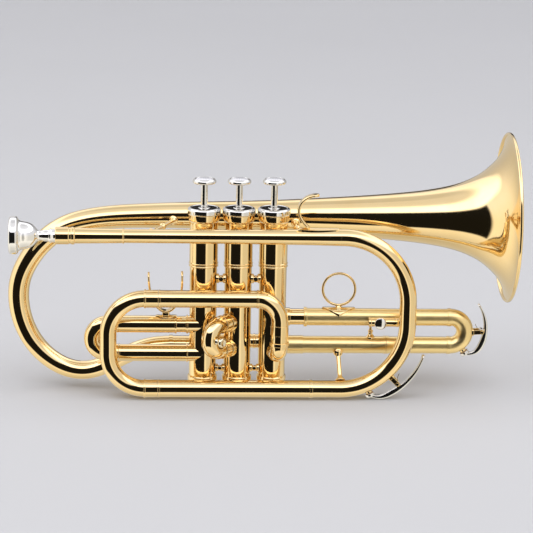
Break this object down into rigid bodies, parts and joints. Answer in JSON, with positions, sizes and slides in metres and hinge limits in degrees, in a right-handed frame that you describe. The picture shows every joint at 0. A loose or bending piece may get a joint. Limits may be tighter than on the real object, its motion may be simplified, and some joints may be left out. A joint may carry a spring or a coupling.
{
  "type": "cornet",
  "caption": "Lacquered brass piston cornet with shepherd-style bell bow, tuning slides, finger ring, hook, water keys and a silver mouthpiece.",
  "frame": {"origin": "centre of the bell mouth on the front plane of the rim", "axes": "+X along the bell towards its mouth, +Z towards the finger buttons, +Y towards the player's left"},
  "size_m": [0.3629, 0.1238, 0.1856],
  "materials": {
    "lacquered_brass": "gloss",
    "nickel_plate": "polished",
    "silver_plate": "polished",
    "monel": "satin",
    "spring_steel": "satin",
    "mother_of_pearl": "gloss",
    "cork": "matte"
  },
  "bodies": {
    "root": {"mouthpiece_receiver": "lacquered_brass", "leadpipe": "lacquered_brass", "front_bow": "lacquered_brass", "front_bow_ferrule": "lacquered_brass", "main_slide_lower_tube": "lacquered_brass", "main_slide_upper_tube": "lacquered_brass", "third_valve_elbow": "lacquered_brass", "valve_1_casing": "lacquered_brass", "valve_2_casing": "lacquered_brass", "valve_3_casing": "lacquered_brass", "valve_crossovers": "lacquered_brass", "valve_top_caps": "nickel_plate", "valve_bottom_caps": "lacquered_brass", "valve_1_spring": "spring_steel", "valve_2_spring": "spring_steel", "valve_3_spring": "spring_steel", "bell": "lacquered_brass", "bell_bow": "lacquered_brass", "bell_tail_knuckle": "lacquered_brass", "first_slide_fixed_leg": "lacquered_brass", "first_slide_lower_tube": "lacquered_brass", "second_slide_tubes": "lacquered_brass", "third_slide_fixed_leg": "lacquered_brass", "third_slide_lower_tube": "lacquered_brass", "third_slide_stop": "lacquered_brass", "finger_hook": "lacquered_brass", "bell_stays": "lacquered_brass", "front_stay": "lacquered_brass", "body_water_key_post": "lacquered_brass"},
    "mouthpiece": {"mouthpiece": "silver_plate"},
    "main_slide": {"main_slide_crook": "lacquered_brass", "main_slide_legs": "nickel_plate"},
    "first_slide": {"first_slide_crook": "lacquered_brass", "first_slide_sleeve": "lacquered_brass", "first_slide_leg": "nickel_plate", "first_slide_saddle": "lacquered_brass"},
    "second_slide": {"second_slide_crook": "lacquered_brass", "second_slide_legs": "nickel_plate", "second_slide_knob": "nickel_plate"},
    "third_slide": {"third_slide_crook": "lacquered_brass", "third_slide_sleeve": "lacquered_brass", "third_slide_leg": "nickel_plate", "finger_ring": "lacquered_brass", "lyre_socket": "lacquered_brass", "third_water_key_post": "lacquered_brass"},
    "third_key": {"third_water_key": "nickel_plate", "third_water_key_cork": "cork"},
    "body_key": {"body_water_key": "nickel_plate", "body_water_key_cork": "cork"},
    "lyre_screw": {"lyre_screw": "nickel_plate"},
    "valve_1": {"valve_1_piston": "monel", "valve_1_button": "nickel_plate", "valve_1_pearl": "mother_of_pearl"},
    "valve_2": {"valve_2_piston": "monel", "valve_2_button": "nickel_plate", "valve_2_pearl": "mother_of_pearl"},
    "valve_3": {"valve_3_piston": "monel", "valve_3_button": "nickel_plate", "valve_3_pearl": "mother_of_pearl"}
  },
  "joints": [
    {"name": "valve_1_press", "type": "slide", "parent": "root", "child": "valve_1", "axis": [0, 0, 1], "range_m": [-0.0165, 0], "stiffness_N_per_m": 120, "springref_m": 0.02, "deforming": ["valve_1_spring"]},
    {"name": "valve_2_press", "type": "slide", "parent": "root", "child": "valve_2", "axis": [0, 0, 1], "range_m": [-0.0165, 0], "stiffness_N_per_m": 120, "springref_m": 0.02, "deforming": ["valve_2_spring"]},
    {"name": "valve_3_press", "type": "slide", "parent": "root", "child": "valve_3", "axis": [0, 0, 1], "range_m": [-0.0165, 0], "stiffness_N_per_m": 120, "springref_m": 0.02, "deforming": ["valve_3_spring"]},
    {"name": "main_tuning_slide", "type": "slide", "parent": "root", "child": "main_slide", "axis": [-1, 0, 0], "range_m": [0, 0.045]},
    {"name": "first_slide_travel", "type": "slide", "parent": "root", "child": "first_slide", "axis": [-1, 0, 0], "range_m": [0, 0.025]},
    {"name": "second_slide_travel", "type": "slide", "parent": "root", "child": "second_slide", "axis": [-0.6947, -0.7193, 0], "range_m": [0, 0.006]},
    {"name": "third_slide_travel", "type": "slide", "parent": "root", "child": "third_slide", "axis": [1, 0, 0], "range_m": [0, 0.04]},
    {"name": "mouthpiece_pull", "type": "slide", "parent": "root", "child": "mouthpiece", "axis": [-1, 0, 0], "range_m": [0, 0.03]},
    {"name": "lyre_screw_turn", "type": "hinge", "parent": "third_slide", "child": "lyre_screw", "pos_m": [-0.0958, -0.0337, -0.0704], "axis": [0, -1, 0], "continuous": true},
    {"name": "third_water_key_open", "type": "hinge", "parent": "third_slide", "child": "third_key", "pos_m": [-0.021, -0.0245, -0.079], "axis": [0, -1, 0], "range_deg": [0, 18], "stiffness_Nm_per_rad": 0.06, "springref_deg": -28.65},
    {"name": "body_water_key_open", "type": "hinge", "parent": "root", "child": "body_key", "pos_m": [-0.08377, -0.046, -0.11181], "axis": [0, -1, 0], "range_deg": [0, 18], "stiffness_Nm_per_rad": 0.06, "springref_deg": -28.65}
  ]
}
